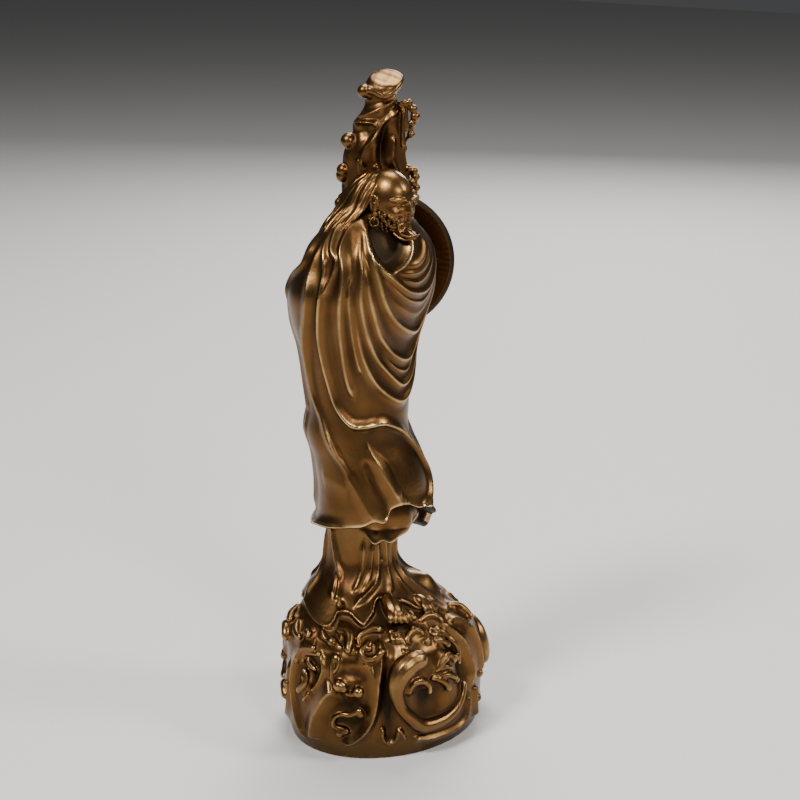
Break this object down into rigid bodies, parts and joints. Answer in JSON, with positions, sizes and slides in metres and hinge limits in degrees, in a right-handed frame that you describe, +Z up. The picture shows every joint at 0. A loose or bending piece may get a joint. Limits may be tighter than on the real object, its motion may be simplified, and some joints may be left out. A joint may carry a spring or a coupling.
{
  "type": "bodhidharma statue",
  "caption": "Small cast bronze of a cloaked, bearded monk on a mound of curling waves, a gnarled root staff behind his shoulder and a straw hat on his back; stands by itself.",
  "frame": {"origin": "middle of the flat underside", "axes": "+Z up, -Y is the way the figure faces, +X is its left"},
  "size_m": [0.0791, 0.0708, 0.23],
  "materials": {
    "bronze": "warm brown patinated bronze, rubbed bright on the raised edges and nearly black in the hollows"
  },
  "bodies": {
    "root": {"bodhidharma_statue": "bronze"}
  },
  "joints": []
}
